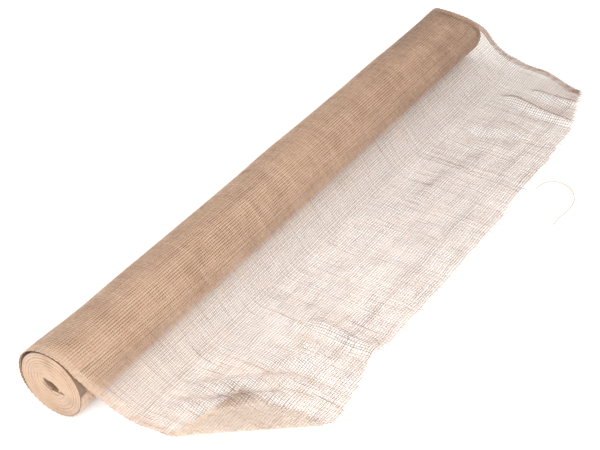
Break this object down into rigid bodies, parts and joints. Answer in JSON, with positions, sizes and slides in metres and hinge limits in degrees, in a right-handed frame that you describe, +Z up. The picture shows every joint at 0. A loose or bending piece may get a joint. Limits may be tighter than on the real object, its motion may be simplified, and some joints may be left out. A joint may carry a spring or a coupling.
{
  "type": "fabric roll",
  "caption": "Coreless roll of open-weave natural jute hessian with a loose lap drawn off its top, one corner turned back and a frayed cut end.",
  "frame": {"origin": "on the floor, under the middle of the roll's axis, on the flattened strip that the roll stands on", "axes": "+X along the roll from its left end to its right end, -Y the way the loose lap runs out over the floor, +Z up"},
  "size_m": [1, 0.3891, 0.0916],
  "materials": {
    "jute_web": "matt open plain weave of undyed jute yarn",
    "jute_selvedge": "matt close-woven jute border",
    "jute_thread": "matt hairy jute yarn"
  },
  "bodies": {
    "wrap": {"outer_turn": "jute_web", "outer_turn_left_selvedge": "jute_selvedge", "outer_turn_right_selvedge": "jute_selvedge"},
    "wound_roll": {"wound_turns_inner": "jute_web", "wound_turns_middle": "jute_web", "wound_turns_outer": "jute_web", "wound_left_selvedges": "jute_selvedge", "wound_right_selvedges": "jute_selvedge"},
    "drape": {"drape": "jute_web", "drape_left_selvedge": "jute_selvedge", "drape_right_selvedge": "jute_selvedge"},
    "lap": {"lap": "jute_web", "lap_left_selvedge": "jute_selvedge", "lap_right_selvedge": "jute_selvedge", "cut_end_fringe": "jute_thread", "loose_thread": "jute_thread"},
    "corner": {"turned_corner": "jute_web", "turned_corner_selvedge": "jute_selvedge", "turned_corner_fringe": "jute_thread"}
  },
  "joints": [
    {"name": "roll_turn", "type": "hinge", "parent": "wrap", "child": "wound_roll", "pos_m": [0, 0, 0.04561], "axis": [1, 0, 0], "range_deg": [0, 76]},
    {"name": "lap_lift", "type": "hinge", "parent": "wrap", "child": "drape", "pos_m": [0, -0.03707, 0.07285], "axis": [-1, 0, 0], "range_deg": [0, 90]},
    {"name": "lap_pull", "type": "slide", "parent": "drape", "child": "lap", "axis": [0, -1, 0], "range_m": [0, 0.06]},
    {"name": "corner_unfold", "type": "hinge", "parent": "lap", "child": "corner", "pos_m": [-0.459, -0.136, 0.00135], "axis": [0.631, -0.7758, 0], "range_deg": [0, 178]}
  ],
  "couplings": [
    {"joint": "lap_pull", "follows": "roll_turn", "m_per_rad": 0.045}
  ]
}
